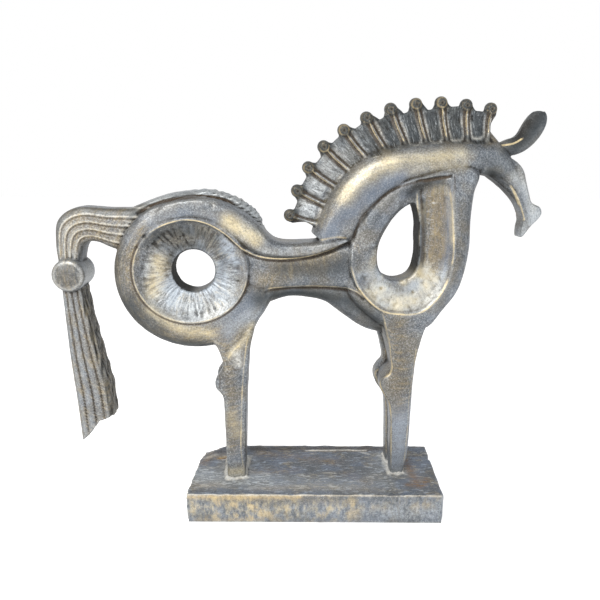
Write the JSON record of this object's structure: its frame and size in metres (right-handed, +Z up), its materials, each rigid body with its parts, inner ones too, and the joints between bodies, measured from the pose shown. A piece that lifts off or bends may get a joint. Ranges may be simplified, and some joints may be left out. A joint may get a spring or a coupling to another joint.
{
  "type": "horse statue on a plinth",
  "caption": "Stylised standing horse with ring-shaped rump and chest, knobbed mane and fluted hanging tail, cast with a bronze patina, on a low rectangular plinth.",
  "frame": {"origin": "centre of the plinth's underside", "axes": "+X towards the horse's head along the plinth's length, +Y away from the side the picture shows, +Z up"},
  "size_m": [0.4706, 0.1134, 0.4031],
  "materials": {
    "horse_cast": "blue-grey bronze-like patina over a cast body, rubbed gold on the edges",
    "plinth_cast": "rough blue-grey bronze-like patina with gold rub and brown stains"
  },
  "bodies": {
    "root": {"horse": "horse_cast", "plinth": "plinth_cast"}
  },
  "joints": []
}
